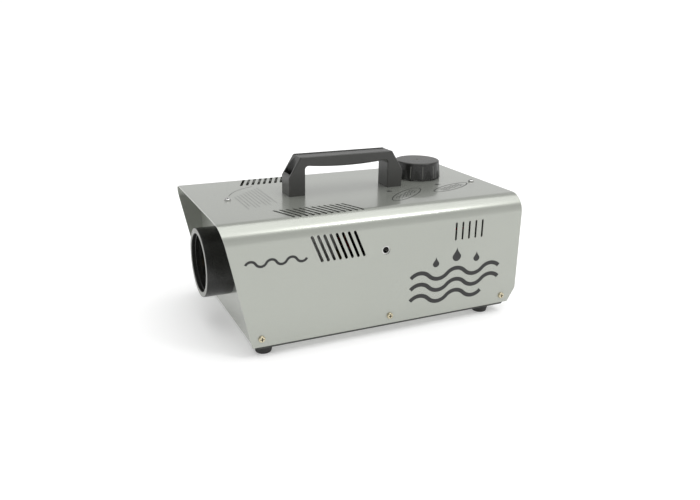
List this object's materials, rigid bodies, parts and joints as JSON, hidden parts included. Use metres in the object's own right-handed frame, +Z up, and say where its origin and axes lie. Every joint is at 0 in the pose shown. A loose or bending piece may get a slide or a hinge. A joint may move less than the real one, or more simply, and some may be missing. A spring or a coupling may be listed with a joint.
{
  "type": "fog machine",
  "caption": "Portable stage fog machine: folded sheet-metal case, carry handle, round fog outlet, filler cap, heater, pump and fluid tank inside.",
  "frame": {"origin": "middle of the footprint, on the surface that the feet stand on", "axes": "+Z up; the fog leaves towards -Y; +X is the side behind which the mains inlet and switch sit"},
  "size_m": [0.2044, 0.3416, 0.1791],
  "materials": {
    "silver_paint": "satin silver-grey paint",
    "zinc_steel": "zinc plated steel",
    "bright_steel": "bright steel",
    "black_abs": "fine textured black plastic",
    "black_gloss": "smooth black plastic",
    "black_rubber": "black rubber",
    "shroud_black": "satin black coating",
    "tank_plastic": "milky polyethylene",
    "grey_foam": "foam sheet",
    "brass": "turned brass",
    "cast_aluminium": "cast aluminium",
    "insulation": "glass fibre blanket",
    "shell_steel": "galvanised sheet",
    "coil_yellow": "moulded coil",
    "pump_plastic": "natural nylon",
    "copper_pipe": "drawn copper",
    "clear_hose": "silicone hose",
    "board_green": "circuit board",
    "relay_blue": "relay case",
    "terminal_green": "terminal block",
    "fuse_glass": "glass fuse",
    "rocker_red": "red rocker",
    "wire_red": "red insulation",
    "wire_blue": "blue insulation",
    "wire_earth": "green and yellow insulation"
  },
  "bodies": {
    "machine": {"cover": "silver_paint", "chassis": "silver_paint", "cover_side_screws": "zinc_steel", "cover_side_nuts": "bright_steel", "cover_top_screws": "bright_steel", "bracket_nuts": "bright_steel", "rubber_feet": "black_rubber", "feet_screws": "zinc_steel", "feet_nuts": "bright_steel", "carry_handle": "black_abs", "handle_screws": "zinc_steel", "handle_nuts": "bright_steel", "fluid_tank": "tank_plastic", "tank_pad": "grey_foam", "tank_strap": "bright_steel", "tank_outlet": "brass", "intake_filter": "pump_plastic", "nozzle_shroud": "shroud_black", "shroud_screws": "zinc_steel", "spray_nozzle": "brass", "vapour_pipe": "bright_steel", "heater_block": "cast_aluminium", "heater_cartridges": "bright_steel", "heater_insulation": "insulation", "heater_shell": "shell_steel", "heater_brackets": "shell_steel", "thermostat": "black_gloss", "thermal_cutout": "black_gloss", "pump_bracket": "shell_steel", "pump_bushes": "black_rubber", "pump_body": "pump_plastic", "pump_yoke": "bright_steel", "pump_coil": "coil_yellow", "pump_outlet": "brass", "pump_spring": "bright_steel", "delivery_pipe": "copper_pipe", "suction_hose": "clear_hose", "board_standoffs": "brass", "control_board": "board_green", "board_transformer": "coil_yellow", "board_relay": "relay_blue", "board_capacitor": "black_gloss", "terminal_block": "terminal_green", "mains_inlet": "black_gloss", "inlet_pins": "brass", "panel_screws": "zinc_steel", "switch_housing": "black_gloss", "remote_socket": "bright_steel", "remote_insert": "black_gloss", "earth_stud": "zinc_steel", "red_wire": "wire_red", "blue_wire": "wire_blue", "earth_wire": "wire_earth", "floor_screws": "zinc_steel"},
    "filler_seal": {"cap_seal": "black_rubber"},
    "filler_cap": {"filler_cap": "black_abs"},
    "plunger": {"pump_plunger": "bright_steel"},
    "rocker": {"switch_rocker": "rocker_red"},
    "drawer": {"fuse_drawer": "black_gloss", "fuse_link": "fuse_glass"}
  },
  "joints": [
    {"name": "cap_rise", "type": "slide", "parent": "machine", "child": "filler_seal", "axis": [0, 0, 1], "range_m": [0, 0.016]},
    {"name": "cap_turn", "type": "hinge", "parent": "filler_seal", "child": "filler_cap", "pos_m": [-0.026, 0.1071, 0], "axis": [0, 0, 1], "range_deg": [0, 1440]},
    {"name": "plunger_stroke", "type": "slide", "parent": "machine", "child": "plunger", "axis": [-1, 0, 0], "range_m": [0, 0.003], "stiffness_N_per_m": 200, "springref_m": -0.001, "deforming": ["pump_spring"]},
    {"name": "switch_rock", "type": "hinge", "parent": "machine", "child": "rocker", "pos_m": [0.066, 0.1586, 0.092], "axis": [1, 0, 0], "range_deg": [0, 24]},
    {"name": "drawer_slide", "type": "slide", "parent": "machine", "child": "drawer", "axis": [0, 1, 0], "range_m": [0, 0.022]}
  ],
  "couplings": [
    {"joint": "cap_rise", "follows": "cap_turn", "m_per_rad": 0.0006366}
  ]
}
